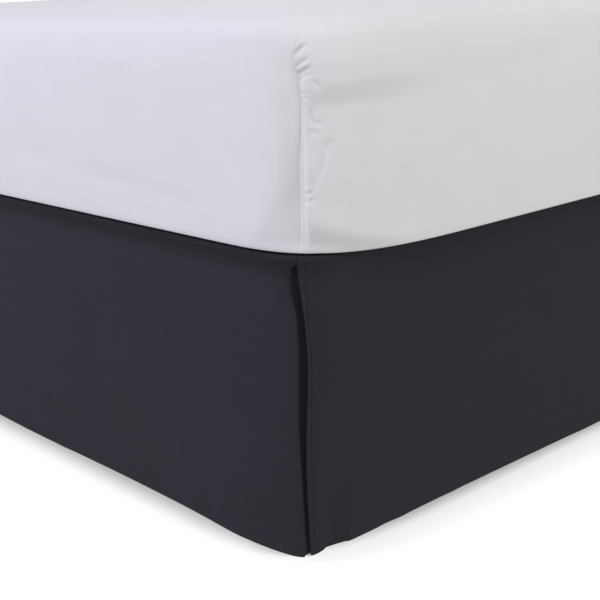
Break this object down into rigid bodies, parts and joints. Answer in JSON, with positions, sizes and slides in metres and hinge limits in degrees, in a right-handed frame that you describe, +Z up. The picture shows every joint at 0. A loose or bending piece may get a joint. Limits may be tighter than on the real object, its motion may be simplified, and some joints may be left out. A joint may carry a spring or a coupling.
{
  "type": "bed skirt on a mattress and foundation",
  "caption": "Tailored charcoal bed skirt with split corners, hung from the deck sheet that lies between a plain foundation and a mattress in a white fitted sheet.",
  "frame": {"origin": "on the floor under the middle of the whole bed", "axes": "+X to the right seen from the foot end, +Y towards the head end, +Z up; the foot end faces -Y"},
  "size_m": [1.5443, 2.0536, 0.6368],
  "materials": {
    "skirt_cloth": "charcoal brushed microfibre, plain weave, matt",
    "fitted_sheet": "white plain-weave fitted sheet, matt",
    "foundation_cover": "off-white woven cover, matt",
    "leg_plastic": "black moulded plastic, satin"
  },
  "bodies": {
    "root": {"skirt_deck": "skirt_cloth", "skirt_foot_panel": "skirt_cloth", "skirt_side_panel_right": "skirt_cloth", "skirt_side_panel_left": "skirt_cloth", "foundation": "foundation_cover", "foundation_leg_1": "leg_plastic", "foundation_leg_2": "leg_plastic", "foundation_leg_3": "leg_plastic", "foundation_leg_4": "leg_plastic", "foundation_leg_5": "leg_plastic", "foundation_leg_6": "leg_plastic", "mattress": "fitted_sheet"}
  },
  "joints": []
}
